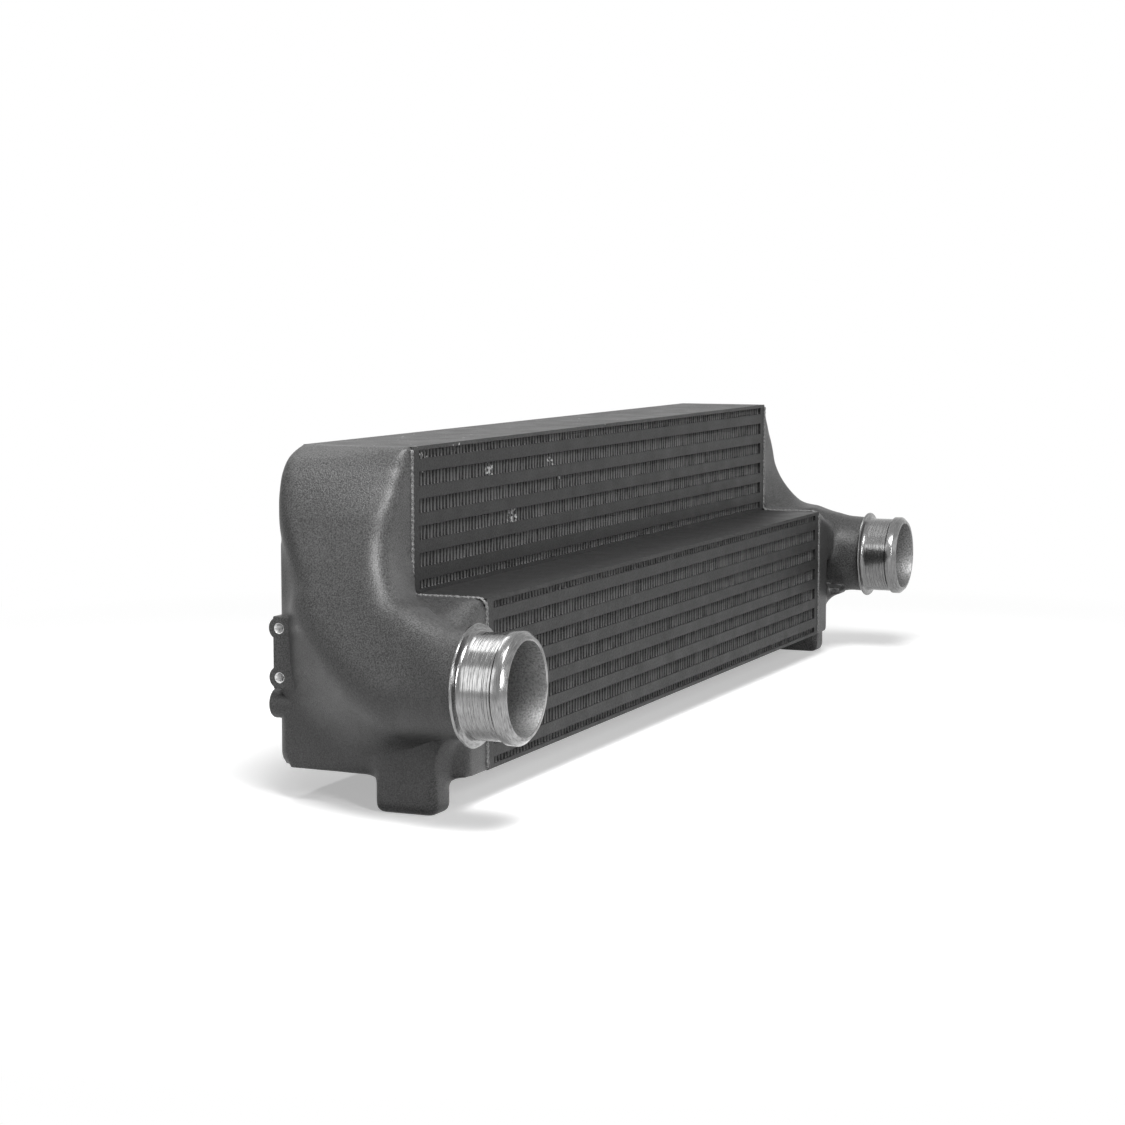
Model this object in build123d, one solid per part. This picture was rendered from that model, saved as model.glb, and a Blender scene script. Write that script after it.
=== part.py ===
from build123d import *
import math
import os

# Bar-and-plate intercooler. X runs along the core, Z is up and the air enters at the front, at -Y.
# While the parts are made, Y = 0 is the lower block's front face and Z = 0 its underside.

# Core blocks: the lower block is deeper than the upper one, and their backs are flush
core_length = 600.0
lower_depth = 110.0
upper_depth = 66.0

# Stack of charge channels and air rows
lower_channels = 6
upper_channels = 5
bar_height = 5.8
bar_width = 6.0
sheet_thick = 0.5
plate_thick = 2.2
fin_height = 8.0
lower_edge_fin = 3.8
upper_edge_fin = 4.8
end_bar_width = 9.0

# Folded fins, with a coarser fold than the real sheet
air_fold = 30.0
air_sheet = 0.45
air_recess = 0.6
charge_fold = 20.0
charge_sheet = 0.5

# Neck: centre outside the joint plane and above the core's underside
neck_offset = 60.5
neck_height = 56.0
trunk_radius = 28.6
trunk_front = 21.0
tank_wall = 4.0

# Machined neck ring
relief_radius = 27.4
relief_width = 1.8
bead_radius = 32.0
bead_back = 1.4
bead_flat = 1.4
bead_slope = 3.2
barrel_radius = 27.6
barrel_length = 12.2
collar_radius = 29.3
collar_rise = 2.6
collar_rim = 2.0
rim_radius = 26.7
rim_taper = 4.7
bore_radius = 24.5
bore_chamfer = 1.2

# Cast tank
tank_reach = 42.0
header_reach = 34.0
header_drop = 14.6
header_corner = 10.0
header_base_radius = 7.0
throat_reach = 22.0
skirt_reach = 43.0
skirt_top = 80.0
ledge_reach = 30.0
bend_radius = 52.0
ridge_radius = 9.0
least_radius = 0.8
bend_steps = 7
hollow_steps = 4
hollow_start = 2
joint_overlap = 20.0

# Cast foot under each tank
foot_drop = 18.0
foot_thick = 19.0
foot_outer = 46.0
foot_front = 9.0
foot_back = 45.0
foot_blend = 18.0
foot_root = 5.0
foot_corner = 4.5
foot_side = 4.5

# Bolt bracket on the near tank
bracket_face = 39.0
bracket_root = 30.0
bracket_top = 82.7
bracket_bottom = 43.2
bracket_front = 94.2
bracket_back = 108.5
bracket_draft = 5.0
ear_radius = 6.4
bolt_y = 104.7
bolt_high = 76.2
bolt_low = 49.5
tap_radius = 2.5
tap_depth = 8.0

# Round boss at the near tank's back
boss_radius = 8.2
boss_x = 27.8
boss_height = 34.0
boss_proud = 3.5
boss_root = 12.0

ledge = lower_depth - upper_depth
channel_height = bar_height + 2 * sheet_thick
lower_height = (2 * plate_thick + 2 * lower_edge_fin + lower_channels * channel_height
                + (lower_channels - 1) * fin_height)
upper_height = (2 * plate_thick + 2 * upper_edge_fin + upper_channels * channel_height
                + (upper_channels - 1) * fin_height)
core_height = lower_height + upper_height
half_core = core_length / 2

bend_y = ledge - bend_radius
bend_z = neck_height + trunk_radius + bend_radius
header_top = bend_z - header_drop
bead_start = trunk_front + relief_width
bead_front = bead_start + bead_back + bead_flat + bead_slope
barrel_front = bead_front + barrel_length
collar_front = barrel_front + collar_rise + collar_rim
ring_front = collar_front + rim_taper

# The frame's origin is under the middle of the whole part, at the feet's soles
middle_y = (lower_depth + boss_proud - ring_front) / 2
frame_shift = Vector(0, -middle_y, foot_drop)


def box(x0, x1, y0, y1, z0, z1):
    """Solid between two corners."""
    size = (x1 - x0, y1 - y0, z1 - z0)
    middle = ((x0 + x1) / 2, (y0 + y1) / 2, (z0 + z1) / 2)
    return Pos(*middle) * Box(*size)


def folded_outline(start, end, low, high, fold, sheet):
    """Zigzag outline of a folded sheet: crests reach the high line and troughs the low line."""
    folds = max(2, round((end - start) / fold))
    step = (end - start) / (2 * folds)
    drop = sheet / 2
    levels = [low + drop, high - drop]
    middle = [(start + i * step, levels[i % 2]) for i in range(2 * folds + 1)]
    upper = [(u, v + drop) for u, v in middle]
    lower = [(u, v - drop) for u, v in reversed(middle)]
    return upper + lower


def air_fin(front, back, low, high):
    """Fin row whose folds run along X and whose sheet runs from front to back."""
    reach = half_core - end_bar_width
    outline = folded_outline(-reach, reach, low, high, air_fold, air_sheet)
    face = Plane.XZ.offset(-back + air_recess) * make_face(Polyline(*outline, close=True))
    return extrude(face, back - front - 2 * air_recess)


def turbulator(front, back, low, high):
    """Inner fin of a charge channel: its folds run across Y and its sheet along X."""
    outline = folded_outline(front + bar_width, back - bar_width, low, high, charge_fold, charge_sheet)
    face = Plane.YZ.offset(-half_core) * make_face(Polyline(*outline, close=True))
    return extrude(face, core_length)


def block(nodes, name, front, low, channels, edge_fin, first_channel, first_row):
    """Rows, bars, sheets and end bars of one core block, between its two plates."""
    back = lower_depth
    end_bars = {"near": [], "far": []}
    level = low + plate_thick
    for i in range(channels + 1):
        height = edge_fin if i in (0, channels) else fin_height
        nodes[f"fin_row_{first_row + i:02d}"] = air_fin(front, back, level, level + height)
        inner = half_core - end_bar_width
        end_bars["near"].append(box(-half_core, -inner, front, back, level, level + height))
        end_bars["far"].append(box(inner, half_core, front, back, level, level + height))
        level += height
        if i < channels:
            number = f"{first_channel + i:02d}"
            bottom = level + sheet_thick
            top = bottom + bar_height
            nodes[f"parting_sheets_{number}"] = [
                box(-half_core, half_core, front, back, level, bottom),
                box(-half_core, half_core, front, back, top, top + sheet_thick)]
            nodes[f"charge_bars_{number}"] = [
                box(-half_core, half_core, front, front + bar_width, bottom, top),
                box(-half_core, half_core, back - bar_width, back, bottom, top)]
            nodes[f"turbulator_{number}"] = turbulator(front, back, bottom, top)
            level = top + sheet_thick
    for end, bars in end_bars.items():
        nodes[f"{name}_{end}_end_bars"] = bars


def plates(nodes):
    """Outer plates of the two blocks. The two that meet share the step between the blocks."""
    nodes["bottom_plate"] = box(-half_core, half_core, 0, lower_depth, 0, plate_thick)
    nodes["ledge_plate"] = box(-half_core, half_core, 0, lower_depth,
                               lower_height - plate_thick, lower_height)
    nodes["upper_base_plate"] = box(-half_core, half_core, ledge, lower_depth,
                                    lower_height, lower_height + plate_thick)
    nodes["top_plate"] = box(-half_core, half_core, ledge, lower_depth,
                             core_height - plate_thick, core_height)


def inside_corner(before, at, after, distance):
    """Point at the same distance inside both sides of a corner, with the two ways along the sides."""
    to_before = (before - at).normalized()
    to_after = (after - at).normalized()
    half = math.radians(to_before.get_angle(to_after)) / 2
    return at + (to_before + to_after).normalized() * (distance / math.sin(half)), to_before, to_after


def corner_arc(before, at, after, radius):
    """Start, middle and end of the arc that rounds the corner at a point."""
    centre, to_before, to_after = inside_corner(before, at, after, radius)
    setback = (centre - at).dot(to_before)
    middle = centre + (at - centre).normalized() * radius
    return at + to_before * setback, middle, at + to_after * setback


def around(points):
    """Each corner of a closed outline with the ones before and after it."""
    return list(zip(points[-1:] + points[:-1], points, points[1:] + points[:1]))


def rounded_face(points, radii, wall=0.0):
    """Four-sided face with a rounded corner at each point, moved in by the wall."""
    points = [inside_corner(*three, wall)[0] for three in around(points)]
    count = len(points)
    arcs = [corner_arc(*three, max(radius - wall, least_radius))
            for three, radius in zip(around(points), radii)]
    edges = []
    for i in range(count):
        start, middle, end = arcs[i]
        edges.append(ThreePointArc(start, middle, end))
        edges.append(Line(end, arcs[(i + 1) % count][0]))
    return make_face(edges)


# Crown of the duct, from the core's top down to the bend:
# share of the height, reach of the ridge at the front, reach at the back, corner radius at the back
crown = [
    (0.000, 0.070, 0.070, 2.0),
    (0.055, 0.120, 0.250, 3.0),
    (0.160, 0.180, 0.490, 4.5),
    (0.300, 0.230, 0.667, 6.0),
    (0.575, 0.420, 0.845, 8.5),
    (0.795, 0.600, 0.930, 11.0),
]

# Bend of the duct, turned about an axis in front of the upper block:
# angle, inner edge, ridge, shoulder and floor as reach and distance from the axis, radii of the four
bend = [
    (0.0, (-20.0, 52.0), (31.5, 52.0), (41.0, 118.0), (-20.0, 118.0), (3.0, 11.0, 14.0, 3.0)),
    (12.0, (-20.0, 52.8), (39.0, 52.8), (44.5, 115.0), (-20.0, 118.0), (3.0, 12.0, 18.0, 3.0)),
    (26.0, (22.0, 53.0), (48.0, 53.0), (54.0, 105.0), (31.0, 126.0), (6.0, 13.0, 23.0, 4.0)),
    (44.0, (27.0, 51.5), (58.0, 51.5), (68.0, 97.0), (33.0, 148.0), (9.0, 15.0, 27.0, 6.0)),
    (62.0, (30.0, 49.5), (66.0, 49.5), (79.0, 98.0), (38.0, 146.0), (14.0, 17.0, 29.0, 6.0)),
    (78.0, (31.4, 49.8), (73.5, 49.8), (86.0, 103.0), (40.0, 121.0), (19.0, 21.0, 29.0, 12.0)),
    (90.0, (31.4, 51.4), (82.0, 51.4), (89.0, 109.0), (32.0, 108.0), (25.0, 25.0, 26.0, 24.0)),
]


def crown_faces(wall):
    """Horizontal sections of the duct's crown, moved in from the outer form by the wall."""
    faces = []
    for share, ridge, back, corner in crown[hollow_start::2] if wall else crown:
        z = bend_z + (core_height - bend_z) * (1 - share) - wall
        ridge_x = tank_reach * ridge
        points = [Vector(joint_overlap, ledge, z), Vector(-ridge_x, ledge, z),
                  Vector(-tank_reach * back, lower_depth, z), Vector(joint_overlap, lower_depth, z)]
        faces.append(rounded_face(points, (0, min(ridge_radius, ridge_x), corner, 0), wall))
    return faces


def bend_station(angle):
    """Corners and radii at an angle of the bend, between the two stations beside it."""
    for before, after in zip(bend, bend[1:]):
        if angle <= after[0]:
            break
    share = (angle - before[0]) / (after[0] - before[0])
    corners = [tuple(p + (q - p) * share for p, q in zip(one, two))
               for one, two in zip(before[1:], after[1:])]
    return corners[:4], corners[4]


def bend_face(angle, wall):
    """Section of the bend on a plane through its axis."""
    corners, radii = bend_station(angle)
    along = Vector(0, math.cos(math.radians(angle)), -math.sin(math.radians(angle)))
    points = [Vector(-reach, bend_y, bend_z) + along * distance for reach, distance in corners]
    return rounded_face(points, radii, wall)


def duct(wall):
    """Crown and swept duct: the outer form for a wall of zero, and the hollow for the real wall."""
    steps = hollow_steps if wall else bend_steps
    faces = crown_faces(wall)
    faces += [bend_face(90 * i / steps, wall) for i in range(steps + 1)]
    faces.append(neck_section(trunk_radius - wall, -trunk_front))
    return loft(faces, ruled=True)


def neck_section(radius, y):
    """Round trunk section, as four arcs with very short flats between them."""
    flat = 0.6
    points = [Vector(-neck_offset + side * radius, y, neck_height + up * radius)
              for side, up in ((1, 1), (-1, 1), (-1, -1), (1, -1))]
    return rounded_face(points, [radius - flat] * 4)


def upright_edges(solid, x, y):
    """Vertical edges of a solid at one corner in plan."""
    near = 0.01
    return [edge for edge in solid.edges().filter_by(Axis.Z)
            if abs(edge.center().X - x) < near and abs(edge.center().Y - y) < near]


def skirt(inner, wall):
    """Lower end form under the duct, moved in by the wall. In plan it flares from the back to the foot."""
    rear = lower_depth - wall
    outline = Polyline((inner, ledge + wall), (wall - skirt_reach, ledge + wall),
                       (wall - header_reach, rear), (inner, rear), close=True)
    return extrude(Plane.XY.offset(wall) * make_face(outline), skirt_top - wall)


def header():
    """Forms that close the core's end behind the duct, rounded where they show."""
    base = skirt(0, 0)
    base = fillet(upright_edges(base, -header_reach, lower_depth), header_corner)
    rim = [edge for edge in base.edges().group_by(Axis.Z)[0] if edge.center().X < -header_reach / 2
           or edge.center().Y > lower_depth - least_radius]
    base = fillet(rim, header_base_radius)
    upper = box(-header_reach, 0, ledge, lower_depth, skirt_top / 2, header_top)
    upper = fillet(upright_edges(upper, -header_reach, lower_depth), header_corner)
    throat = box(-throat_reach, 0, ledge, lower_depth, skirt_top, bend_z)
    lower = box(-ledge_reach, 0, 0, lower_depth - header_corner, 0, lower_height)
    return base + upper + throat + fillet(upright_edges(lower, -ledge_reach, 0), header_corner)


def header_hollow():
    """Plain hollow of the header, open to the core's end."""
    rear = lower_depth - tank_wall
    upper = box(-header_reach + tank_wall, joint_overlap, ledge + tank_wall, rear, tank_wall, header_top)
    lower = box(-ledge_reach + tank_wall, joint_overlap, tank_wall, rear, tank_wall,
                lower_height - tank_wall)
    return upper + lower + skirt(joint_overlap, tank_wall)


def foot():
    """Cast foot under the trunk, with a hollow blend up to it and rounded lower corners."""
    under = neck_height - trunk_radius
    turn = math.radians(45)
    start = (foot_front, under - foot_blend)
    end = (foot_front - foot_blend, under)
    middle = (end[0] + foot_blend * math.cos(turn), start[1] + foot_blend * math.sin(turn))
    top = under + foot_root
    outline = [ThreePointArc(start, middle, end),
               Polyline(end, (end[0], top), (foot_back, top), (foot_back, -foot_drop),
                        (foot_front, -foot_drop), start)]
    slab = extrude(Plane.YZ.offset(-foot_outer) * make_face(outline), foot_thick)
    front = upright_edges(slab, -foot_outer, foot_front)
    slab = fillet(front, foot_side)
    return fillet(slab.edges().filter_by(Axis.X).group_by(Axis.Z)[0], foot_corner)


def bracket():
    """Bolt bracket at the near tank's back edge: a drafted plate with an ear round each tapped hole."""
    outline = Polyline((-bracket_face, bracket_front), (-bracket_face, bracket_back),
                       (-bracket_root, bracket_back), (-bracket_root, bracket_front - bracket_draft),
                       close=True)
    plate = extrude(Plane.XY.offset(bracket_bottom) * make_face(outline), bracket_top - bracket_bottom)
    ear = Rot(0, 90, 0) * Cylinder(ear_radius, bracket_face - bracket_root)
    middle = -(bracket_face + bracket_root) / 2
    for height in (bolt_low, bolt_high):
        plate += Pos(middle, bolt_y, height) * ear
    return plate


def boss():
    """Round boss that points backwards from the near tank's lower back corner."""
    length = boss_root + boss_proud
    middle = lower_depth + boss_proud - length / 2
    return Pos(-boss_x, middle, boss_height) * (Rot(90, 0, 0) * Cylinder(boss_radius, length))


def tank(fittings):
    """Near tank in its own place: X = 0 is the joint plane, and the tank lies at negative X."""
    beyond = box(0, 2 * joint_overlap, 0, lower_depth, 0, 2 * core_height)
    shell = (duct(0.0) - beyond) + header() + foot()
    if fittings:
        shell += bracket() + boss()
    shell = shell - header_hollow() - duct(tank_wall)
    if fittings:
        tap = Rot(0, 90, 0) * Cylinder(tap_radius, tap_depth)
        for height in (bolt_low, bolt_high):
            shell -= Pos(-bracket_face + tap_depth / 2, bolt_y, height) * tap
    return shell


def neck_ring():
    """Machined ring on the trunk's end: relief, bead, barrel and collar, turned about the neck."""
    crest = bead_start + bead_back
    fall = crest + bead_flat
    outline = [
        (bore_radius, trunk_front), (relief_radius, trunk_front), (relief_radius, bead_start),
        (bead_radius - bead_back / 2, bead_start), (bead_radius, crest), (bead_radius, fall),
        (bead_radius - bead_back, (fall + bead_front) / 2), (barrel_radius, bead_front),
        (barrel_radius, barrel_front), (collar_radius, barrel_front + collar_rise),
        (collar_radius, collar_front), (rim_radius, ring_front),
        (bore_radius + bore_chamfer, ring_front), (bore_radius, ring_front - bore_chamfer)]
    face = make_face(Polyline(*outline, close=True))
    turned = revolve(face, Axis.Y)
    return Pos(-neck_offset, 0, neck_height) * (Rot(180, 0, 0) * turned)


def ends(nodes):
    """Tank and neck ring at each end. The far ones mirror the near ones, without bracket and boss."""
    shift = Pos(-half_core, 0, 0)
    nodes["near_end_tank"] = shift * tank(True)
    nodes["near_neck_ring"] = shift * neck_ring()
    nodes["far_end_tank"] = mirror(shift * tank(False), Plane.YZ)
    nodes["far_neck_ring"] = mirror(shift * neck_ring(), Plane.YZ)


def main():
    nodes = {}
    ends(nodes)
    plates(nodes)
    block(nodes, "lower", 0, 0, lower_channels, lower_edge_fin, 1, 1)
    block(nodes, "upper", ledge, lower_height, upper_channels, upper_edge_fin,
          lower_channels + 1, lower_channels + 2)
    os.makedirs("parts", exist_ok=True)
    for name, shape in nodes.items():
        solids = shape if isinstance(shape, list) else [shape]
        solids = [solid.moved(Location(frame_shift)) for solid in solids]
        export_step(Compound(children=solids) if len(solids) > 1 else solids[0], f"parts/{name}.step")


main()
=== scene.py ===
import bpy
import bmesh
import math
import random
import numpy as np
from mathutils import Matrix, Vector, noise


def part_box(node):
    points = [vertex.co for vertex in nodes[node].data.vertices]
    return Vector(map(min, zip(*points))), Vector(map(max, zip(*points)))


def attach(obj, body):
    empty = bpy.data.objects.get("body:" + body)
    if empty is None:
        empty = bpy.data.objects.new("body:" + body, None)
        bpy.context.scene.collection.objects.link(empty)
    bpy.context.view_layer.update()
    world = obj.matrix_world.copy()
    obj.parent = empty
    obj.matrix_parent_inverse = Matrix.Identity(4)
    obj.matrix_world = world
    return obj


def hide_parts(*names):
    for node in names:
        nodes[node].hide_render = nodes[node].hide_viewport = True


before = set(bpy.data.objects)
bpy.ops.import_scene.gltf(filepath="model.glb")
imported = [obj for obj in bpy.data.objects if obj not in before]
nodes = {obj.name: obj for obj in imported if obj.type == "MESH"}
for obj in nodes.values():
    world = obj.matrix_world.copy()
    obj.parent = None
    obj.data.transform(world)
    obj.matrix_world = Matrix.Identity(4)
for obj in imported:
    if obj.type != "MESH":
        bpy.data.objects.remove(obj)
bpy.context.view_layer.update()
collection = bpy.context.scene.collection

# Lengths are millimetres in the part's own making frame: X = 0 at the core's middle, Y = 0 at the
# lower block's front and Z = 0 at its underside. The row frame has its origin under the middle.
MM = 0.001
MIDDLE_Y = 31.6
FOOT_DROP = 18.0
HALF_CORE = 300.0
CORE_HEIGHT = 172.8
LOWER_HEIGHT = 92.8
DEPTH = 110.0
LEDGE = 44.0
END_BAR = 9.0
TO_ROW = Matrix.Translation((0, -MIDDLE_Y * MM, FOOT_DROP * MM)) @ Matrix.Scale(MM, 4)


# Mesh helpers

def mesh_object(name, verts, faces, smooth=True):
    mesh = bpy.data.meshes.new(name)
    mesh.from_pydata([tuple(v) for v in verts], [], faces)
    mesh.update()
    obj = bpy.data.objects.new(name, mesh)
    collection.objects.link(obj)
    if smooth:
        mesh.polygons.foreach_set("use_smooth", [True] * len(mesh.polygons))
    return obj


def apply_modifiers(obj):
    depsgraph = bpy.context.evaluated_depsgraph_get()
    mesh = bpy.data.meshes.new_from_object(obj.evaluated_get(depsgraph))
    obj.modifiers.clear()
    old = obj.data
    obj.data = mesh
    bpy.data.meshes.remove(old)
    return obj


def fix_normals(obj):
    bm = bmesh.new()
    bm.from_mesh(obj.data)
    bmesh.ops.recalc_face_normals(bm, faces=bm.faces)
    bm.to_mesh(obj.data)
    bm.free()
    return obj


def from_bmesh(name, bm):
    obj = mesh_object(name, [], [])
    bm.to_mesh(obj.data)
    bm.free()
    return obj


def bevel(bm, edges, radius, segments=6):
    bmesh.ops.bevel(bm, geom=edges, offset=radius, offset_type="OFFSET", segments=segments,
                    profile=0.5, affect="EDGES")


def box_object(name, x0, x1, y0, y1, z0, z1):
    bm = bmesh.new()
    bmesh.ops.create_cube(bm, size=1.0)
    for v in bm.verts:
        v.co = Vector(((x0 + x1) / 2 + v.co.x * (x1 - x0), (y0 + y1) / 2 + v.co.y * (y1 - y0),
                       (z0 + z1) / 2 + v.co.z * (z1 - z0)))
    return from_bmesh(name, bm)


# Edges that turn by more than this angle, in radians, count as sharp.
SHARP = 0.5


def soften(obj, radius, pick=None, segments=5):
    """Rounds the sharp edges, or those that pick chooses by their middle and direction."""
    bm = bmesh.new()
    bm.from_mesh(obj.data)
    edges = [e for e in bm.edges if e.calc_face_angle(0) > SHARP]
    if pick:
        edges = [e for e in edges if pick((e.verts[0].co + e.verts[1].co) / 2,
                                          (e.verts[1].co - e.verts[0].co).normalized())]
    bevel(bm, edges, radius, segments)
    bm.to_mesh(obj.data)
    bm.free()
    return obj


def cylinder_object(name, radius, length, matrix):
    bm = bmesh.new()
    bmesh.ops.create_cone(bm, cap_ends=True, segments=64, radius1=radius, radius2=radius,
                          depth=length, matrix=matrix)
    return from_bmesh(name, bm)


def join(name, parts):
    bm = bmesh.new()
    for part in parts:
        bm.from_mesh(part.data)
        bpy.data.objects.remove(part)
    return from_bmesh(name, bm)


def cut(obj, tool, operation="DIFFERENCE"):
    modifier = obj.modifiers.new("cut", "BOOLEAN")
    modifier.operation = operation
    modifier.solver = "MANIFOLD"
    modifier.object = tool
    apply_modifiers(obj)
    bpy.data.objects.remove(tool)
    return obj


def place(obj, matrix):
    """Bakes a matrix into the mesh and turns the faces outward again after a mirror."""
    obj.data.transform(matrix)
    if matrix.determinant() < 0:
        obj.data.flip_normals()
    obj.data.update()
    return obj


def tube_faces(rows, around):
    """Faces of a tube of rows of points, with a cap at each end."""
    faces = []
    for i in range(rows - 1):
        for k in range(around):
            a, b = i * around + k, i * around + (k + 1) % around
            faces.append((a, b, b + around, a + around))
    faces.append(tuple(range(around)))
    faces.append(tuple(rows * around - 1 - k for k in range(around)))
    return faces


ALONG_X = Matrix.Rotation(math.radians(90), 4, "Y")
ALONG_Y = Matrix.Rotation(math.radians(90), 4, "X")

# Sections of the cast duct. Each has four corners, as reach outward from the joint plane and
# distance from the bend's axis, and a radius for each. The order is front inner, front outer,
# back outer and back inner corner. A reach below 0 lies past the joint plane and is cut off.

TANK_REACH = 42.0
BEND_RADIUS = 52.0
BEND_Y = LEDGE - BEND_RADIUS
NECK_OFFSET = 60.5
NECK_HEIGHT = 56.0
TRUNK_RADIUS = 28.6
TRUNK_FRONT = 21.0
BEND_Z = NECK_HEIGHT + TRUNK_RADIUS + BEND_RADIUS
BEND_LENGTH = 85.0
CROWN_HEIGHT = CORE_HEIGHT - BEND_Z
DUCT_EXTRA = 6.0
TANK_WALL = 4.0
BACK = DEPTH - BEND_Y
PAST_JOINT = -20.0
RIDGE_RADIUS = 9.0
LEAST_RADIUS = 0.6
ARC_POINTS = 16
# Sections whose ridge reaches less than this are left out of the loft.
LEAST_REACH = 0.8

# Crown: share of its height from the top, reach of the front ridge and of the back as shares of the
# tank's reach, and radius of the back corner.
CROWN = [
    (0.000, 0.070, 0.070, 2.0), (0.055, 0.120, 0.250, 3.0), (0.160, 0.180, 0.490, 4.5),
    (0.300, 0.230, 0.667, 6.0), (0.420, 0.310, 0.762, 7.0), (0.575, 0.390, 0.845, 8.5),
    (0.795, 0.550, 0.930, 11.0)]
# Bend: angle along it in degrees, the four corners and their radii.
BEND = [
    (0.0, (PAST_JOINT, 52.0), (29.5, 52.0), (41.0, 118.0), (PAST_JOINT, 118.0),
     (3.0, 11.0, 14.0, 3.0)),
    (12.0, (PAST_JOINT, 53.6), (36.5, 52.7), (44.5, 115.0), (PAST_JOINT, 118.0),
     (3.0, 12.0, 18.0, 3.0)),
    (26.0, (PAST_JOINT, 60.3), (45.5, 52.5), (54.0, 105.0), (31.0, 126.0),
     (3.0, 13.0, 23.0, 4.0)),
    (44.0, (2.0, 67.0), (56.0, 51.0), (68.0, 97.0), (33.0, 148.0), (6.0, 15.0, 27.0, 6.0)),
    (62.0, (28.0, 50.5), (66.0, 49.5), (79.0, 98.0), (38.0, 146.0), (14.0, 17.0, 29.0, 6.0)),
    (78.0, (31.4, 49.8), (73.5, 49.8), (86.0, 103.0), (40.0, 121.0), (19.0, 21.0, 29.0, 12.0)),
    (90.0, (31.4, 51.4), (82.0, 51.4), (89.0, 109.0), (32.0, 108.0), (25.0, 25.0, 26.0, 24.0))]


def stations():
    """Stations along the duct: way along it, and the twelve values of its section."""
    rows = []
    for share, ridge, back, corner in CROWN:
        ridge_radius = min(RIDGE_RADIUS, TANK_REACH * ridge)
        corners = [PAST_JOINT, BEND_RADIUS, TANK_REACH * ridge, BEND_RADIUS,
                   TANK_REACH * back, BACK, PAST_JOINT, BACK]
        rows.append((share * CROWN_HEIGHT, corners + [1.0, ridge_radius, corner, 1.0]))
    for angle, a, b, c, d, radii in BEND:
        rows.append((CROWN_HEIGHT + angle / 90 * BEND_LENGTH, [*a, *b, *c, *d, *radii]))
    low = NECK_OFFSET - TRUNK_RADIUS
    high = NECK_OFFSET + TRUNK_RADIUS
    inner = BEND_RADIUS
    outer = BEND_RADIUS + 2 * TRUNK_RADIUS
    trunk = [low, inner, high, inner, high, outer, low, outer] + [TRUNK_RADIUS - 0.1] * 4
    end = CROWN_HEIGHT + BEND_LENGTH
    for extra in (TRUNK_FRONT + BEND_Y, TRUNK_FRONT + BEND_Y + DUCT_EXTRA):
        rows.append((end + extra, trunk))
    return np.array([r[0] for r in rows]), np.array([r[1] for r in rows])


def slopes(s, v):
    """Monotone slopes for a smooth curve through the stations."""
    h = np.diff(s)[:, None]
    d = np.diff(v, axis=0) / h
    m = np.zeros_like(v)
    m[0], m[-1] = d[0], d[-1]
    w1 = 2 * h[1:] + h[:-1]
    w2 = h[1:] + 2 * h[:-1]
    same = d[:-1] * d[1:] > 0
    with np.errstate(divide="ignore", invalid="ignore"):
        mean = (w1 + w2) / (w1 / d[:-1] + w2 / d[1:])
    m[1:-1] = np.where(same, mean, 0.0)
    return m


def at_way(s, v, m, where):
    """Section values at a way along the duct."""
    i = int(np.clip(np.searchsorted(s, where) - 1, 0, len(s) - 2))
    h = s[i + 1] - s[i]
    t = (where - s[i]) / h
    return ((1 + 2 * t) * (1 - t) ** 2 * v[i] + t * (1 - t) ** 2 * h * m[i]
            + t * t * (3 - 2 * t) * v[i + 1] + t * t * (t - 1) * h * m[i + 1])


def inside_corner(before, at, after, distance):
    """Point at the same distance inside both sides of a corner."""
    to_before = (before - at).normalized()
    to_after = (after - at).normalized()
    half = to_before.angle(to_after) / 2
    return at + (to_before + to_after).normalized() * (distance / math.sin(half))


def rounded_corner(before, at, after, radius, points):
    """Points along the arc that rounds a corner. The radius is limited by the corner's sides."""
    to_before = (before - at).normalized()
    to_after = (after - at).normalized()
    half = to_before.angle(to_after) / 2
    setback = radius / math.tan(half)
    limit = 0.49 * min((before - at).length, (after - at).length)
    if setback > limit:
        radius *= limit / setback
    centre = at + (to_before + to_after).normalized() * (radius / math.sin(half))
    start = (at + to_before * (radius / math.tan(half))) - centre
    end = (at + to_after * (radius / math.tan(half))) - centre
    return [centre + turn(start, end, k / (points - 1)) for k in range(points)]


def rounded_loop(corners, radii):
    """Points round a four-sided section with rounded corners."""
    loop = []
    for i in range(4):
        before, at, after = corners[i - 1], corners[i], corners[(i + 1) % 4]
        loop += rounded_corner(before, at, after, max(radii[i], LEAST_RADIUS), ARC_POINTS)
    return loop


def turn(start, end, share):
    """Vector between two of the same length, turned by a share of the angle."""
    angle = start.angle(end)
    if angle < 1e-6:
        return start.copy()
    return (start * math.sin((1 - share) * angle) + end * math.sin(share * angle)) / math.sin(angle)


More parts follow.
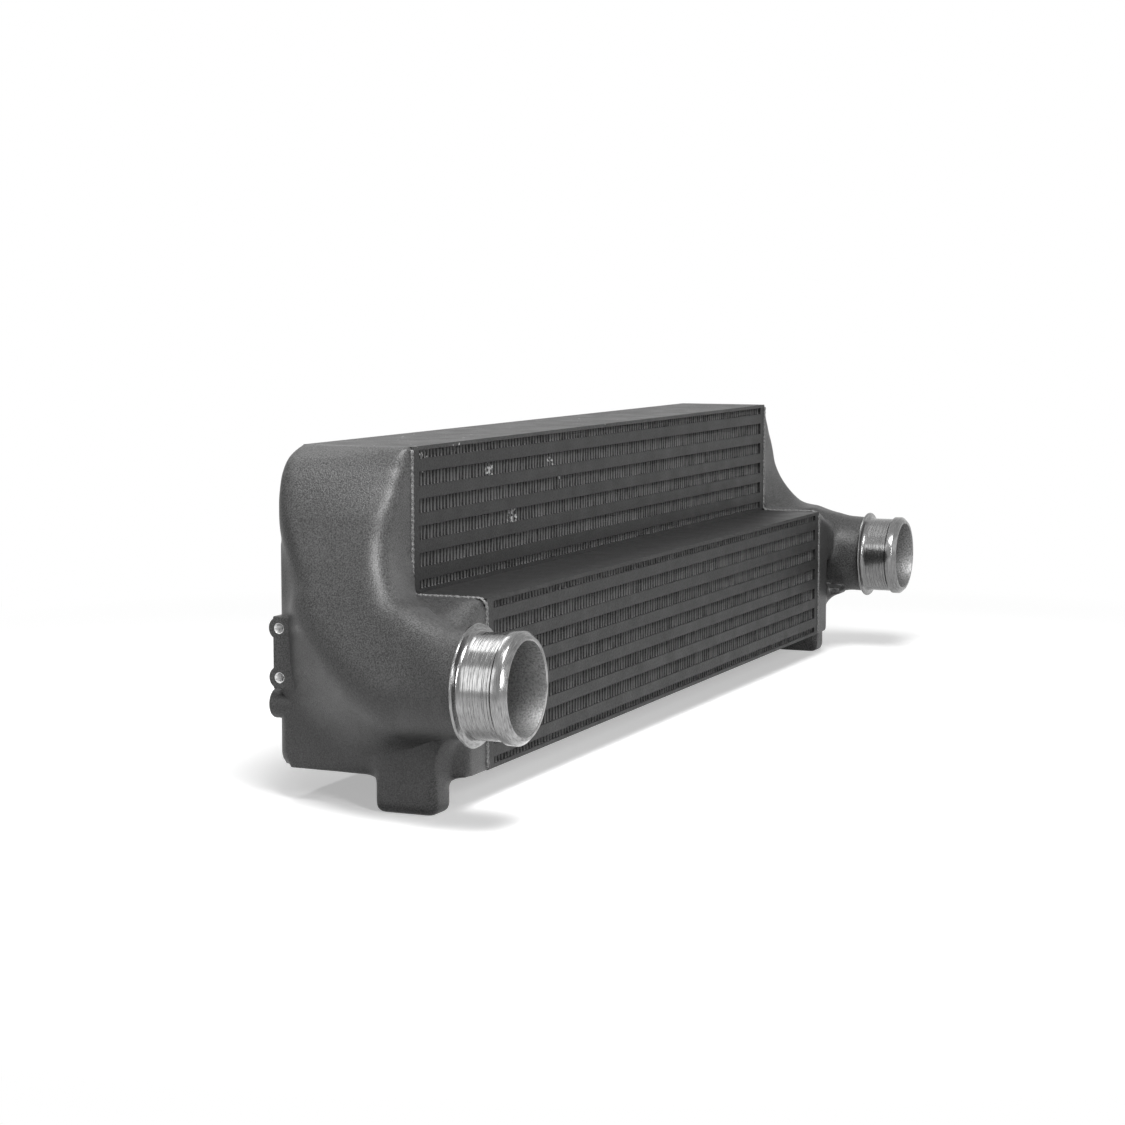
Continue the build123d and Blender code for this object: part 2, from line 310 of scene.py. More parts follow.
def duct_object(name, wall=0.0):
    """Closed loft of the duct, moved in by the wall."""
    s, v = stations()
    m = slopes(s, v)
    ways = [wall + (CROWN_HEIGHT - wall) * (k / 16) ** 1.7 for k in range(16)]
    ways += [CROWN_HEIGHT + BEND_LENGTH * k / 40 for k in range(41)]
    end = CROWN_HEIGHT + BEND_LENGTH
    ways += [end + (TRUNK_FRONT + DUCT_EXTRA + BEND_Y) * k / 4 for k in range(1, 5)]
    rings = []
    for where in ways:
        values = at_way(s, v, m, min(where, s[-1]))
        angle = math.radians(90 * min(max((where - CROWN_HEIGHT) / BEND_LENGTH, 0), 1))
        origin = Vector((0, BEND_Y - max(where - end, 0), BEND_Z + max(CROWN_HEIGHT - where, 0)))
        along = Vector((0, math.cos(angle), -math.sin(angle)))
        corners = [origin + Vector((-values[2 * i], 0, 0)) + along * values[2 * i + 1]
                   for i in range(4)]
        corners = [inside_corner(corners[i - 1], corners[i], corners[(i + 1) % 4], wall)
                   for i in range(4)]
        if corners[1].x <= -LEAST_REACH:
            rings.append(rounded_loop(corners, [r - wall for r in values[8:]]))
    verts = [p for ring in rings for p in ring]
    return fix_normals(mesh_object(name, verts, tube_faces(len(rings), len(rings[0]))))


def prism_object(name, outline, z0, z1, base_radius=0.0, picks=()):
    """Upright prism over a plan outline.

    The bottom edges that start at the picked corners are rounded.
    """
    bm = bmesh.new()
    count = len(outline)
    low = [bm.verts.new((x, y, z0)) for x, y in outline]
    high = [bm.verts.new((x, y, z1)) for x, y in outline]
    bm.faces.new(low)
    bm.faces.new(high)
    for k in range(count):
        bm.faces.new((low[k], low[(k + 1) % count], high[(k + 1) % count], high[k]))
    if base_radius:
        bevel(bm, [bm.edges.get((low[k], low[(k + 1) % count])) for k in picks], base_radius)
    return fix_normals(from_bmesh(name, bm))


def prism_xz(name, outline, y0, y1):
    """Prism along Y over an outline of X and Z."""
    count = len(outline)
    verts = [(x, y0, z) for x, z in outline] + [(x, y1, z) for x, z in outline]
    faces = [(k, (k + 1) % count, (k + 1) % count + count, k + count) for k in range(count)]
    faces += [tuple(reversed(range(count))), tuple(range(count, 2 * count))]
    return fix_normals(mesh_object(name, verts, faces))


PLAN_POINTS = 8


def rounded_plan(corners, radii):
    """Plan outline with some of its corners rounded."""
    outline = []
    count = len(corners)
    for i in range(count):
        before, at, after = (Vector((*corners[j % count], 0)) for j in (i - 1, i, i + 1))
        arc = rounded_corner(before, at, after, radii[i], PLAN_POINTS) if radii[i] else [at]
        outline += [(p.x, p.y) for p in arc]
    return outline


# Header: X of its outer walls, and heights. The forms overlap the joint plane, where they are cut.
OVERLAP = 8
WALL_BACK = -34
WALL_LEDGE = -43
WALL_LOWER = -30
BACK_RADIUS = 10
SKIRT_TOP = 80
SKIRT_RADIUS = 7.0
UPPER_TOP = 122
THROAT_X = -22
LOWER_TOP = 76
SLOPE_RADIUS = 7.0


def header_forms():
    """Forms that close the core's end behind the duct.

    They are skirt, upper box, throat, lower box and the slope at the ledge's end.
    """
    plan = rounded_plan([(OVERLAP, LEDGE), (WALL_LEDGE, LEDGE), (WALL_BACK, DEPTH),
                         (OVERLAP, DEPTH)], [0, 0, BACK_RADIUS, 0])
    skirt = prism_object("skirt", plan, 0, SKIRT_TOP, SKIRT_RADIUS, range(1, PLAN_POINTS + 2))
    plan = rounded_plan([(OVERLAP, LEDGE), (WALL_BACK, LEDGE), (WALL_BACK, DEPTH),
                         (OVERLAP, DEPTH)], [0, 0, BACK_RADIUS, 0])
    upper = prism_object("upper", plan, 40, UPPER_TOP)
    throat = box_object("throat", THROAT_X, OVERLAP, LEDGE, DEPTH, SKIRT_TOP, BEND_Z)
    plan = rounded_plan([(OVERLAP, 0), (WALL_LOWER, 0), (WALL_LOWER, 52),
                         (OVERLAP, 52)], [0, BACK_RADIUS, 0, 0])
    lower = prism_object("lower", plan, 0, LOWER_TOP)
    outline = [(OVERLAP, LOWER_HEIGHT), (-10, LOWER_HEIGHT), (-52, 74), (-52, 55), (OVERLAP, 55)]
    slope = prism_xz("slope", outline, 0, LEDGE + 2)
    soften(slope, SLOPE_RADIUS,
           lambda middle, way: middle.y < 1 and abs(way.y) < 0.1 and middle.z > 74)
    return [skirt, upper, throat, lower, slope]


# Foot under the trunk, and the web beside it
FOOT_OUTER = -46
FOOT_INNER = -27
FOOT_FRONT = 9
FOOT_BACK = 45
FOOT_BLEND = 18
FOOT_RADIUS = 4.5
WEB_X = -11
WEB_BLEND = 16


def foot_form():
    """Cast foot under the trunk, with a hollow blend up to it and soft outer edges."""
    under = NECK_HEIGHT - TRUNK_RADIUS
    centre = FOOT_FRONT - FOOT_BLEND
    arc = [math.radians(7.5 * k) for k in range(13)]
    outline = [(centre + FOOT_BLEND * math.cos(a), under - FOOT_BLEND + FOOT_BLEND * math.sin(a))
               for a in arc]
    outline += [(centre, under + 5), (FOOT_BACK, under + 5), (FOOT_BACK, -FOOT_DROP),
                (FOOT_FRONT, -FOOT_DROP)]
    count = len(outline)
    last = count - 1
    bm = bmesh.new()
    outer = [bm.verts.new((FOOT_OUTER, y, z)) for y, z in outline]
    inner = [bm.verts.new((FOOT_INNER, y, z)) for y, z in outline]
    bm.faces.new(outer)
    bm.faces.new(inner)
    for k in range(count):
        bm.faces.new((outer[k], outer[(k + 1) % count], inner[(k + 1) % count], inner[k]))
    soft = [(outer[k], outer[k + 1]) for k in range(len(arc) - 1)]
    soft += [(outer[last], outer[0]), (outer[last - 1], outer[last]),
             (outer[last - 2], outer[last - 1]), (outer[last], inner[last]),
             (outer[last - 1], inner[last - 1])]
    bevel(bm, [bm.edges.get(pair) for pair in soft], FOOT_RADIUS)
    return fix_normals(from_bmesh("foot", bm))


def foot_web():
    """Hollow corner between the foot's inner side and the header's underside."""
    arc = [math.radians(9 * k) for k in range(11)]
    outline = [(WEB_X - WEB_BLEND * math.cos(a), -WEB_BLEND + WEB_BLEND * math.sin(a)) for a in arc]
    outline += [(WEB_X, 4), (FOOT_INNER - 4, 4), (FOOT_INNER - 4, -WEB_BLEND)]
    return prism_xz("web", outline, 14, 40)


# Bracket with two tapped holes, and the round boss
BOLTS = (49.5, 76.2)
BOLT_Y = 104.7
BOLT_RADIUS = 2.9
BRACKET_FACE = -39
BRACKET_ROOT = -28
EAR_RADIUS = 6.4
EAR_LENGTH = 11
BOSS_RADIUS = 8.2
BOSS_LENGTH = 17


def fitting_forms():
    """Bracket plate with two ears, and the round boss."""
    plan = [(BRACKET_FACE, 94.2), (BRACKET_FACE, 108.5),
            (BRACKET_ROOT, 108.5), (BRACKET_ROOT, 88.5)]
    forms = [soften(prism_object("plate", plan, 43.2, 82.7), 0.8, segments=3)]
    for height in BOLTS:
        middle = Matrix.Translation((BRACKET_FACE + EAR_LENGTH / 2, BOLT_Y, height))
        ear = cylinder_object("ear", EAR_RADIUS, EAR_LENGTH, middle @ ALONG_X)
        forms.append(soften(ear, 0.7, segments=3))
    middle = Matrix.Translation((-27.8, 105, 34))
    boss = cylinder_object("boss", BOSS_RADIUS, BOSS_LENGTH, middle @ ALONG_Y)
    forms.append(soften(boss, 1.4, segments=4))
    return forms


def sleeve_object(name):
    """Machined and threaded walls of the bracket's two holes."""
    turns = [(2.25 + 0.25 * (k % 2), 1.0 + 0.4 * k) for k in range(18)]
    profile = [(BOLT_RADIUS, 0.05), (2.75, 0.05), *turns, (2.3, 8.4), (BOLT_RADIUS, 8.4)]
    holes = []
    for height in BOLTS:
        face = Matrix.Translation((BRACKET_FACE, BOLT_Y, height))
        holes.append(place(turned(name, profile, 32), face @ ALONG_X))
    return join(name, holes)


# The evening of inner corners begins this far from the joint plane and grows over this width.
FILL_START = 5.0
FILL_WIDTH = 18.0


def relax(obj, rounds, fill_rounds):
    """Evens a voxel mesh of quads: all of it a little, and its inner corners much more.

    Inner corners near the joint plane stay as they are, because the core's end sets that outline.
    """
    mesh = obj.data
    count = len(mesh.vertices)
    co = np.zeros(count * 3)
    mesh.vertices.foreach_get("co", co)
    co = co.reshape(-1, 3)
    edges = np.zeros(len(mesh.edges) * 2, int)
    mesh.edges.foreach_get("vertices", edges)
    a, b = edges.reshape(-1, 2).T
    degree = np.bincount(a, minlength=count) + np.bincount(b, minlength=count)

    def pull(points):
        total = np.empty_like(points)
        for axis in range(3):
            total[:, axis] = (np.bincount(a, points[b, axis], count)
                              + np.bincount(b, points[a, axis], count))
        return total / degree[:, None] - points

    share = 0.5 * np.clip((-FILL_START - co[:, 0]) / FILL_WIDTH, 0, 1) ** 2
    loops = np.zeros(len(mesh.loops), int)
    mesh.loops.foreach_get("vertex_index", loops)
    quads = loops.reshape(-1, 4)
    for _ in range(rounds):
        co += 0.5 * pull(co)
    for _ in range(fill_rounds):
        move = pull(co)
        p = co[quads]
        n = np.cross(p[:, 2] - p[:, 0], p[:, 3] - p[:, 1])
        normal = np.zeros_like(co)
        for corner in range(4):
            for axis in range(3):
                normal[:, axis] += np.bincount(quads[:, corner], n[:, axis], count)
        normal /= np.linalg.norm(normal, axis=1)[:, None] + 1e-12
        out = (move * normal).sum(1)
        co += (share * np.clip(out, 0, None))[:, None] * normal
    mesh.vertices.foreach_set("co", co.ravel())
    mesh.update()


def voxel(obj, size):
    modifier = obj.modifiers.new("remesh", "REMESH")
    modifier.mode = "VOXEL"
    modifier.voxel_size = size
    modifier.use_smooth_shade = True
    return apply_modifiers(obj)


VOXEL = 1.15
HOLLOW_VOXEL = 2.0


def tank_object(name, fittings):
    """Cast tank in the near end's place, with the joint plane at X = 0."""
    tank = voxel(join(name, [duct_object("duct"), *header_forms(), foot_form(), foot_web()]), VOXEL)
    relax(tank, 5, 300)
    for form in fitting_forms() if fittings else []:
        cut(tank, form, "UNION")
    front, back, floor_z = LEDGE + TANK_WALL, DEPTH - TANK_WALL, TANK_WALL
    skirt_plan = [(30, front), (WALL_LEDGE + TANK_WALL, front), (WALL_BACK + TANK_WALL, back),
                  (30, back)]
    hollow = voxel(join("hollow", [
        duct_object("inner duct", TANK_WALL),
        box_object("inner upper", WALL_BACK + TANK_WALL, 30, front, back, floor_z, UPPER_TOP),
        prism_object("inner skirt", skirt_plan, floor_z, SKIRT_TOP),
        box_object("inner lower", WALL_LOWER + TANK_WALL, 30, TANK_WALL, back, floor_z,
                   SKIRT_TOP - 1)]), HOLLOW_VOXEL)
    relax(hollow, 3, 0)
    cut(tank, hollow)
    cut(tank, box_object("past the joint", 0, 80, -80, 200, -60, 260))
    cut(tank, box_object("past the trunk", -140, 60, -80, -TRUNK_FRONT, -60, 260))
    if fittings:
        for height in BOLTS:
            tap = Matrix.Translation((BRACKET_FACE + 1, BOLT_Y, height)) @ ALONG_X
            cut(tank, cylinder_object("tap", BOLT_RADIUS, 17, tap))
    return tank


# Machined neck ring, turned about the neck's axis

RING_BORE = 24.5
BARREL_RADIUS = 27.7
GROOVE_RADIUS = 27.56
COLLAR_RADIUS = 29.3
GROOVES = (26.9, 29.4, 30.6, 32.3, 34.9, 37.2, 38.1, 40.0)
SHARP_DEGREES = 28
RING_SEGMENTS = 144


def ring_profile():
    """Radius and way forward from the lower block's front: flange, grooved barrel and collar."""
    points = [(RING_BORE, TRUNK_FRONT), (31.3, TRUNK_FRONT), (31.9, 21.5), (32.0, 22.2),
              (31.6, 22.8), (29.6, 23.1), (28.5, 23.5), (27.9, 24.2), (BARREL_RADIUS, 25.0)]
    for way in GROOVES:
        points += [(BARREL_RADIUS, way), (GROOVE_RADIUS, way + 0.12), (BARREL_RADIUS, way + 0.24)]
    points += [(BARREL_RADIUS, 41.5), (27.0, 41.8), (27.0, 42.2), (28.9, 42.5),
               (COLLAR_RADIUS, 42.9), (COLLAR_RADIUS, 47.3), (29.0, 47.9), (27.0, 49.8),
               (26.6, 50.2), (26.2, 50.3), (25.0, 50.3), (24.6, 50.0), (RING_BORE, 49.5)]
    return points


def turned(name, profile, segments):
    """Closed ring from a profile of radius and way, turned about Z."""
    verts, faces = [], []
    count = len(profile)
    for k in range(segments):
        angle = 2 * math.pi * k / segments
        verts += [(radius * math.cos(angle), radius * math.sin(angle), way)
                  for radius, way in profile]
        here, after = k * count, (k + 1) % segments * count
        faces += [(here + i, here + (i + 1) % count, after + (i + 1) % count, after + i)
                  for i in range(count)]
    obj = fix_normals(mesh_object(name, verts, faces))
    obj.data.set_sharp_from_angle(angle=math.radians(SHARP_DEGREES))
    return obj


FORWARD = Matrix.Translation((-NECK_OFFSET, 0, NECK_HEIGHT)) @ ALONG_Y


# Folded fins: one fold has two walls, so this pitch is twelve walls to the inch.

FIN_PITCH = 4.2
FIN_REACH = HALF_CORE - END_BAR - 0.3
FIN_GAP = 0.12
FIN_JITTER = 0.12
SHEET_HALF = 0.11
FOLD_RADIUS = 0.35
EDGE_INSET = 0.5
HALF_ROW_HEIGHT = 6
HALF_ROW_FLAT = 0.22
ROW_FLAT = 0.42


def fin_line(low, high, flat):
    """Line of a folded sheet: walls lean more where the crests are narrow."""
    line = []
    start, end = -FIN_REACH, FIN_REACH
    folds = round((end - start) / FIN_PITCH)
    step = (end - start) / folds
    lean = step * (0.5 - flat) / 2
    soft = min(FOLD_RADIUS, flat * step / 3)
    half = step / 2
    for k in range(folds):
        x = start + k * step
        line += [(x + lean / 2 - soft / 2, low + soft), (x + lean / 2, high - soft),
                 (x + lean / 2 + soft, high), (x + half - soft, high),
                 (x + half, high - soft), (x + half + lean, low + soft),
                 (x + half + lean + soft, low), (x + step - soft, low)]
    return line


def fin_object(name, front, back, low, high, flat, seed):
    """Folded sheet of one row, with uneven folds and front edges."""
    draw = random.Random(seed)
    line = fin_line(low + FIN_GAP, high - FIN_GAP, flat)
    line = [Vector((x + draw.uniform(-FIN_JITTER, FIN_JITTER), 0, z)) for x, z in line]
    verts, faces = [], []
    count = len(line)
    for i, p in enumerate(line):
        way = (line[min(i + 1, count - 1)] - line[max(i - 1, 0)]).normalized()
        side = Vector((-way.z, 0, way.x)) * SHEET_HALF
        shift = draw.uniform(0, 0.5)
        for offset in (side, -side):
            for y in (front + EDGE_INSET + shift, back - EDGE_INSET):
                verts.append((p.x + offset.x, y, p.z + offset.z))
    for i in range(count - 1):
        a, b = 4 * i, 4 * (i + 1)
        faces += [(a, a + 1, b + 1, b), (a + 2, b + 2, b + 3, a + 3),
                  (a, b, b + 2, a + 2), (a + 1, a + 3, b + 3, b + 1)]
    faces += [(0, 2, 3, 1), (4 * count - 4, 4 * count - 3, 4 * count - 1, 4 * count - 2)]
    return fix_normals(mesh_object(name, verts, faces, smooth=False))


# Weld bead along the joint of tank and core

BEAD_RADIUS = 1.25
BEAD_STEP = 0.8
RIPPLE_LENGTH = 3.1
BEAD_SIDES = 10
BEAD_IN_TOP = 1.4
BEAD_IN_BASE = 0.9


def bead_object(name, path, seed):
    """Rippled bead along a path of points on the joint plane."""
    draw = random.Random(seed)
    points = []
    for start, end in zip(path, path[1:]):
        steps = max(1, round((end - start).length / BEAD_STEP))
        points += [start.lerp(end, k / steps) for k in range(steps)]
    points.append(path[-1])
    verts = []
    across = Vector((1, 0, 0))
    phase = draw.uniform(0, 6)
    for i, p in enumerate(points):
        way = (points[min(i + 1, len(points) - 1)] - points[max(i - 1, 0)]).normalized()
        up = way.cross(across).normalized()
        wobble = noise.noise(Vector((i * 0.09, seed, 0)))
        ripple = 0.16 * math.sin(i * BEAD_STEP * 2 * math.pi / RIPPLE_LENGTH + phase + 2 * wobble)
        size = BEAD_RADIUS * (1 + 0.22 * noise.noise(Vector((i * 0.21, seed, 5))) + ripple)
        if i in (0, len(points) - 1):
            size *= 0.3
        for k in range(BEAD_SIDES):
            angle = 2 * math.pi * k / BEAD_SIDES
            verts.append(p + across * (math.cos(angle) * size * 1.1 + 0.5 * wobble)
                         + up * math.sin(angle) * size * 0.75)
    return fix_normals(mesh_object(name, verts, tube_faces(len(points), BEAD_SIDES)))


def weld_path():
    """Round the joint's outline in the near end's place, starting up the back."""
    turns = [math.radians(15 * k) for k in range(7)]
    outline = [(DEPTH, 3), (DEPTH, CORE_HEIGHT - 2), (DEPTH - 2, CORE_HEIGHT - BEAD_IN_TOP),
               (LEDGE + 2, CORE_HEIGHT - BEAD_IN_TOP), (LEDGE, CORE_HEIGHT - 2.4),
               (LEDGE, LOWER_HEIGHT + 2), (LEDGE - 2, LOWER_HEIGHT)]
    outline += [(5 - 5 * math.sin(a), LOWER_HEIGHT - 5 + 5 * math.cos(a)) for a in turns]
    outline += [(0, 2), (2, BEAD_IN_BASE), (DEPTH - 2, BEAD_IN_BASE), (DEPTH, 3)]
    return [Vector((0, y, z)) for y, z in outline]


# Materials

def material(name):
    mat = bpy.data.materials.new(name)
    mat.use_nodes = True
    tree = mat.node_tree
    shader = tree.nodes["Principled BSDF"]
    return mat, tree, shader


def node(tree, kind, **inputs):
    made = tree.nodes.new(kind)
    for key, value in inputs.items():
        key = key.replace("_", " ")
        if key in made.inputs:
            made.inputs[key].default_value = value
    return made


def object_point(tree):
    return tree.nodes.new("ShaderNodeTexCoord").outputs["Object"]


def noise_node(tree, scale, detail=3.0, rough=0.5, stretch=None):
    """Noise in metres of the object. A stretch is a scale of its own for each axis."""
    point = object_point(tree)
    made = node(tree, "ShaderNodeTexNoise", Scale=scale, Detail=detail, Roughness=rough)
    if stretch:
        mapping = tree.nodes.new("ShaderNodeMapping")
        mapping.inputs["Scale"].default_value = stretch
        tree.links.new(point, mapping.inputs["Vector"])
        point = mapping.outputs["Vector"]
    tree.links.new(point, made.inputs["Vector"])
    return made


def ramp(tree, source, stops):
    """Ramp through pairs of a position and a grey."""
    made = tree.nodes.new("ShaderNodeValToRGB")
    elements = made.color_ramp.elements
    while len(elements) < len(stops):
        elements.new(0.5)
    for element, (position, value) in zip(elements, stops):
        element.position = position
        element.color = (value, value, value, 1)
    tree.links.new(source, made.inputs["Fac"])
    return made


def bump(tree, shader, height, strength, distance):
    made = node(tree, "ShaderNodeBump", Strength=strength, Distance=distance)
    tree.links.new(height, made.inputs["Height"])
    tree.links.new(made.outputs["Normal"], shader.inputs["Normal"])


GRAIN_DEPTH = 0.0002
MARK_DEPTH = 0.0003


def coat(name, dark, light, rough, grain, shine):
    """Black powder coat over a surface with a fine grain."""
    mat, tree, shader = material(name)
    fine = noise_node(tree, grain, 2.0, 0.6)
    broad = noise_node(tree, 60.0, 3.0)
    tone = ramp(tree, fine.outputs["Fac"], [(0.34, dark), (0.66, light)])
    tree.links.new(tone.outputs["Color"], shader.inputs["Base Color"])
    gloss = ramp(tree, broad.outputs["Fac"], [(0.25, rough - 0.05), (0.75, rough + 0.07)])
    tree.links.new(gloss.outputs["Color"], shader.inputs["Roughness"])
    shader.inputs["Specular IOR Level"].default_value = shine
    bump(tree, shader, fine.outputs["Fac"], 1.0, GRAIN_DEPTH)
    return mat


def paler_where(mat, mask, colour):
    """Mixes a paler colour into a coat where a mask is one."""
    tree = mat.node_tree
    shader = tree.nodes["Principled BSDF"]
    plain = shader.inputs["Base Color"].links[0].from_socket
    mix = tree.nodes.new("ShaderNodeMixRGB")
    mix.inputs["Color2"].default_value = (colour, colour, colour, 1)
    tree.links.new(mask, mix.inputs["Fac"])
    tree.links.new(plain, mix.inputs["Color1"])
    tree.links.new(mix.outputs["Color"], shader.inputs["Base Color"])


def math_node(tree, operation, first, second=0.0):
    """Value of a sum of two numbers or sockets."""
    made = tree.nodes.new("ShaderNodeMath")
    made.operation = operation
    for socket, value in zip(made.inputs, (first, second)):
        if isinstance(value, float):
            socket.default_value = value
        else:
            tree.links.new(value, socket)
    return made.outputs["Value"]


def painted_fold_light(tree):
    """One on one side of each fold and nought on the other, at the folds' own pitch: painted light
    and shade of the folds' lit and shaded walls.
    """
    parts = tree.nodes.new("ShaderNodeSeparateXYZ")
    tree.links.new(object_point(tree), parts.inputs["Vector"])
    step = 2 * FIN_REACH / round(2 * FIN_REACH / FIN_PITCH)
    way = math_node(tree, "ADD", parts.outputs["X"], FIN_REACH * MM)
    turns = math_node(tree, "MULTIPLY", way, 2 * math.pi / (step * MM))
    wave = math_node(tree, "COSINE", turns)
    return ramp(tree, wave, [(0.0, 0.0), (0.3, 1.0)]).outputs["Color"]


def scuffs(tree, spots):
    """One in small ragged spots round some points, where fins are bent and their coat is off."""
    point = object_point(tree)
    ragged = ramp(tree, noise_node(tree, 420.0, 2.0).outputs["Fac"], [(0.54, 0.0), (0.60, 1.0)])
    total = 0.0
    for x, z, reach in spots:
        away = tree.nodes.new("ShaderNodeVectorMath")
        away.operation = "DISTANCE"
        away.inputs[1].default_value = TO_ROW @ Vector((x, LEDGE, z))
        tree.links.new(point, away.inputs[0])
        near = math_node(tree, "LESS_THAN", away.outputs["Value"], reach * MM)
        total = math_node(tree, "ADD", total, near)
    return math_node(tree, "MULTIPLY", total, ragged.outputs["Color"])


def bare_metal(name, dark, light, rough, stretch, strength):
    """Bare aluminium whose marks are drawn out by the stretch."""
    mat, tree, shader = material(name)
    shader.inputs["Metallic"].default_value = 1.0
    marks = noise_node(tree, 1.0, 3.0, 0.6, stretch)
    middle = (dark + light) / 2
    tone = ramp(tree, marks.outputs["Fac"], [(0.32, dark), (0.5, middle), (0.7, light)])
    tree.links.new(tone.outputs["Color"], shader.inputs["Base Color"])
    gloss = ramp(tree, marks.outputs["Fac"], [(0.3, rough + 0.15), (0.7, rough)])
    tree.links.new(gloss.outputs["Color"], shader.inputs["Roughness"])
    bump(tree, shader, marks.outputs["Fac"], strength, MARK_DEPTH)
    return mat


def set_material(obj, mat):
    obj.data.materials.clear()
    obj.data.materials.append(mat)


# Knocked fins of the upper block's front: X, Z and the spot's reach.
BENT_FINS = [(-166, 124, 7), (-199, 154, 6), (-109, 155, 5), (-285, 164, 6), (-95, 146, 4)]

cast_coat = coat("cast_coat", 0.003, 0.074, 0.40, 1200.0, 0.4)
bar_coat = coat("bar_coat", 0.010, 0.030, 0.45, 900.0, 0.16)
top_coat = coat("top_coat", 0.010, 0.05, 0.45, 1100.0, 0.2)
specks = ramp(top_coat.node_tree, noise_node(top_coat.node_tree, 260.0, 1.0).outputs["Fac"],
              [(0.77, 0.0), (0.79, 1.0)])
paler_where(top_coat, specks.outputs["Color"], 0.4)
fin_coat = coat("fin_coat", 0.024, 0.055, 0.5, 900.0, 0.2)
# The paler stripes are painted light on one side of each fold and painted shade on the other.
paler_where(fin_coat, painted_fold_light(fin_coat.node_tree), 0.15)
paler_where(fin_coat, scuffs(fin_coat.node_tree, BENT_FINS), 0.55)
weld_coat = coat("weld_coat", 0.03, 0.22, 0.4, 1400.0, 0.4)
metal = bare_metal("turned_aluminium", 0.11, 0.28, 0.14, (200.0, 3600.0, 200.0), 0.02)
hole_metal = bare_metal("tapped_aluminium", 0.5, 0.9, 0.25, (900.0, 900.0, 900.0), 0.05)
bore_metal = bare_metal("bored_aluminium", 0.16, 0.42, 0.45, (900.0, 900.0, 900.0), 0.5)

MIRROR = Matrix.Scale(-1, 4, (1, 0, 0))
NEAR = Matrix.Translation((-HALF_CORE, 0, 0))
FAR = MIRROR @ NEAR

for end, matrix in (("near", NEAR), ("far", FAR)):
    tank = tank_object(f"{end}_tank_casting", end == "near")
    place(tank, TO_ROW @ matrix)
    set_material(tank, cast_coat)
    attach(tank, "root")
    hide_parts(f"{end}_end_tank")
    ring = turned(f"{end}_turned_ring", ring_profile(), RING_SEGMENTS)
    place(ring, TO_ROW @ matrix @ FORWARD)
    set_material(ring, metal)
    ring.data.materials.append(bore_metal)
    for face in ring.data.polygons:
        middle = face.center - TO_ROW @ matrix @ Vector((-NECK_OFFSET, 0, NECK_HEIGHT))
        face.material_index = int(math.hypot(middle.x, middle.z) < (RING_BORE + 0.2) * MM)
    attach(ring, "root")
    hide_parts(f"{end}_neck_ring")
    bead = bead_object(f"{end}_weld_bead", weld_path(), 3 if end == "near" else 8)
    place(bead, TO_ROW @ matrix)
    set_material(bead, weld_coat)
    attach(bead, "root")

sleeves = place(sleeve_object("bracket_tapped_holes"), TO_ROW @ NEAR)
set_material(sleeves, hole_metal)
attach(sleeves, "root")

row_names = sorted(n for n in nodes if n.startswith("fin_row_"))
for index, name in enumerate(row_names):
    low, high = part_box(name)
    front = low.y / MM + MIDDLE_Y - 0.6
    back = high.y / MM + MIDDLE_Y + 0.6
    bottom = low.z / MM - FOOT_DROP
    top = high.z / MM - FOOT_DROP
    flat = HALF_ROW_FLAT if top - bottom < HALF_ROW_HEIGHT else ROW_FLAT
    fin = fin_object(f"{name}_folds", front, back, bottom, top, flat, index)
    place(fin, TO_ROW)
    set_material(fin, fin_coat)
    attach(fin, "root")
    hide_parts(name)

NODE_COATS = {"turbulator": fin_coat, "top_plate": top_coat}
EDGED_NODES = ("charge_bars", "top_plate", "bottom_plate", "ledge_plate", "upper_base")

for name, obj in nodes.items():
    if obj.hide_render:
        continue
    own = [kind for start, kind in NODE_COATS.items() if name.startswith(start)]
    set_material(obj, own[0] if own else bar_coat)
    if name.startswith(EDGED_NODES):
        edge = obj.modifiers.new("edge", "BEVEL")
        edge.width = 0.5 * MM
        edge.segments = 2
        edge.limit_method = "ANGLE"

# Floor, light and camera

WHITE = (1, 1, 1, 1)


def seen_by_eye(tree):
    """One where the camera sees the surface, straight or in a mirror."""
    ray = tree.nodes.new("ShaderNodeLightPath").outputs
    straight = math_node(tree, "MAXIMUM", ray["Is Camera Ray"], ray["Is Glossy Ray"])
    return math_node(tree, "MAXIMUM", straight, ray["Is Transmission Ray"])


def mix_shaders(tree, share, first, second):
    made = tree.nodes.new("ShaderNodeMixShader")
    tree.links.new(share, made.inputs["Fac"])
    tree.links.new(first, made.inputs[1])
    tree.links.new(second, made.inputs[2])
    return made.outputs["Shader"]


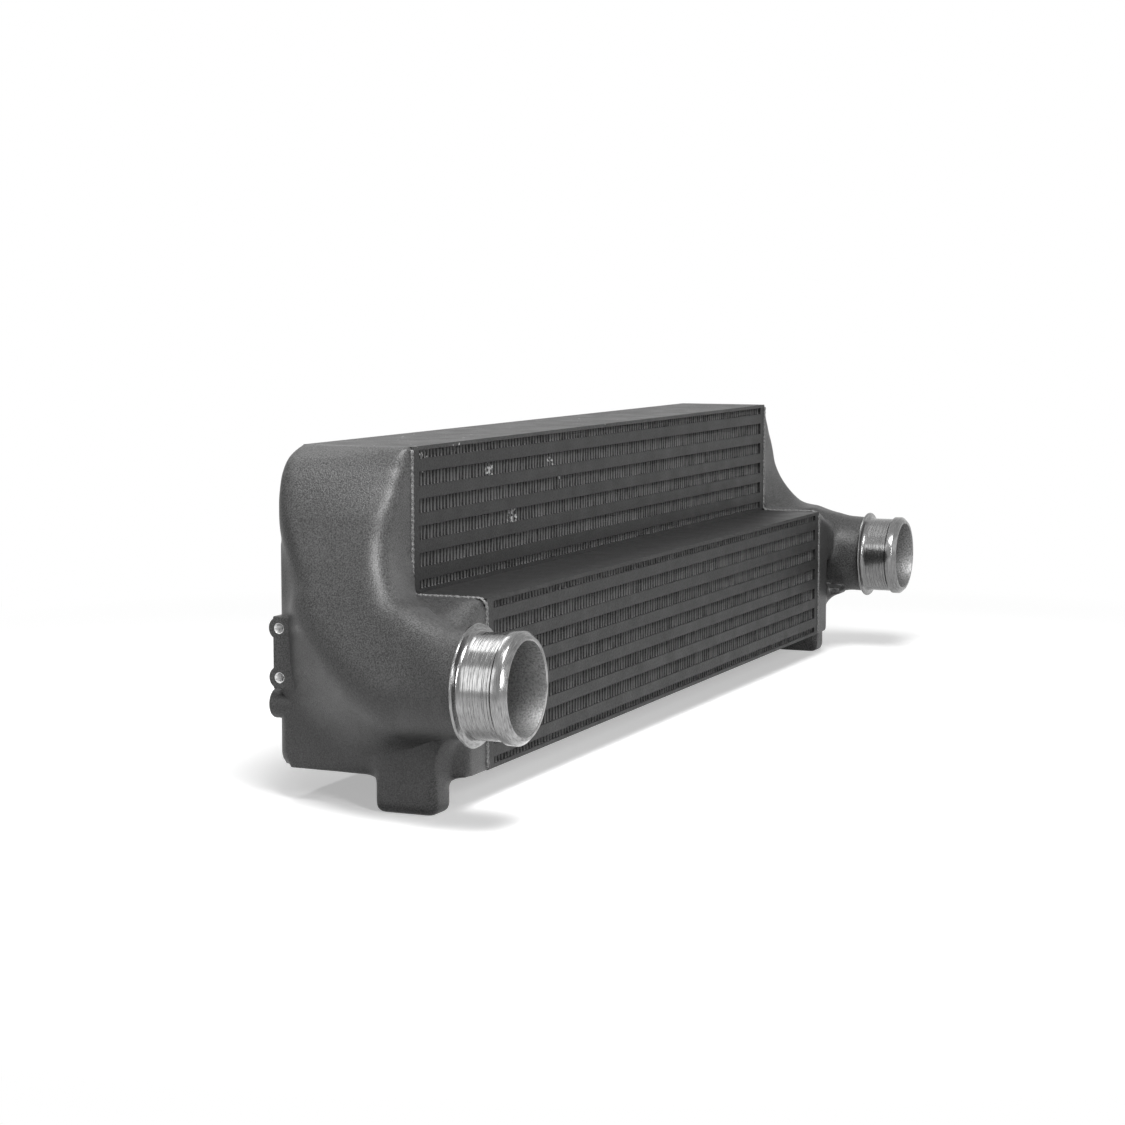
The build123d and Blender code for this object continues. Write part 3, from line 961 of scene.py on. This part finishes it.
def floor_material():
    """White floor, lit near the object, where it keeps the shadow, and plain white beyond."""
    mat, tree, shader = material("floor_white")
    tree.nodes.remove(shader)
    length = tree.nodes.new("ShaderNodeVectorMath")
    length.operation = "LENGTH"
    tree.links.new(object_point(tree), length.inputs[0])
    far = ramp(tree, length.outputs["Value"], [(0.48, 0.0), (0.80, 1.0)])
    far.color_ramp.interpolation = "EASE"
    lit = node(tree, "ShaderNodeBsdfDiffuse", Color=(0.8, 0.8, 0.8, 1))
    glow = node(tree, "ShaderNodeEmission", Color=WHITE, Strength=0.40)
    near = tree.nodes.new("ShaderNodeAddShader")
    tree.links.new(lit.outputs["BSDF"], near.inputs[0])
    tree.links.new(glow.outputs["Emission"], near.inputs[1])
    plain = node(tree, "ShaderNodeEmission", Color=WHITE, Strength=1.0)
    seen = mix_shaders(tree, far.outputs["Color"], near.outputs["Shader"],
                       plain.outputs["Emission"])
    matte = node(tree, "ShaderNodeBsdfDiffuse", Color=(0.15, 0.15, 0.15, 1))
    view = mix_shaders(tree, seen_by_eye(tree), matte.outputs["BSDF"], seen)
    tree.links.new(view, tree.nodes["Material Output"].inputs["Surface"])
    return mat


floor = mesh_object("floor", [(-6, -6, 0), (6, -6, 0), (6, 6, 0), (-6, 6, 0)], [(0, 1, 2, 3)])
set_material(floor, floor_material())

world = bpy.context.scene.world or bpy.data.worlds.new("world")
bpy.context.scene.world = world
world.use_nodes = True
tree = world.node_tree
tree.nodes.clear()
ambient = node(tree, "ShaderNodeBackground", Color=WHITE, Strength=0.06)
white = node(tree, "ShaderNodeBackground", Color=WHITE, Strength=1.0)
sky = mix_shaders(tree, seen_by_eye(tree), ambient.outputs["Background"],
                  white.outputs["Background"])
tree.links.new(sky, tree.nodes.new("ShaderNodeOutputWorld").inputs["Surface"])


def area_light(name, place_at, target, size, power):
    data = bpy.data.lights.new(name, "AREA")
    data.shape = "RECTANGLE"
    data.size, data.size_y = size
    data.energy = power
    obj = bpy.data.objects.new(name, data)
    collection.objects.link(obj)
    obj.location = place_at
    obj.rotation_euler = (Vector(place_at) - Vector(target)).to_track_quat("Z", "Y").to_euler()
    return obj


area_light("key_softbox", (-0.62, -0.35, 1.2), (-0.33, 0.02, 0.14), (0.6, 0.6), 22)
area_light("ridge_softbox", (-1.21, -1.25, 0.6), (-0.34, 0.0, 0.1), (0.25, 0.6), 13)
left = area_light("left_softbox", (-2.1, 0.9, 0.97), (-0.36, -0.08, 0.97), (0.8, 1.9), 14)
left.visible_diffuse = False
area_light("top_strip", (0.34, 0.78, 2.0), (0.34, 0.78, 0.0), (1.6, 0.3), 9)
area_light("front_fill", (0.2, -2.2, 0.9), (0, 0, 0.1), (2.0, 1.0), 5)

camera_data = bpy.data.cameras.new("camera")
camera_data.lens = 79.36
camera_data.sensor_width = 36.0
camera = bpy.data.objects.new("camera", camera_data)
collection.objects.link(camera)
camera.location = (-1.4932846, -0.5808555, 0.2680921)
camera.rotation_euler = (math.radians(84.007), 0, math.radians(-67.046))
bpy.context.scene.camera = camera
bpy.context.scene.view_settings.view_transform = "Standard"
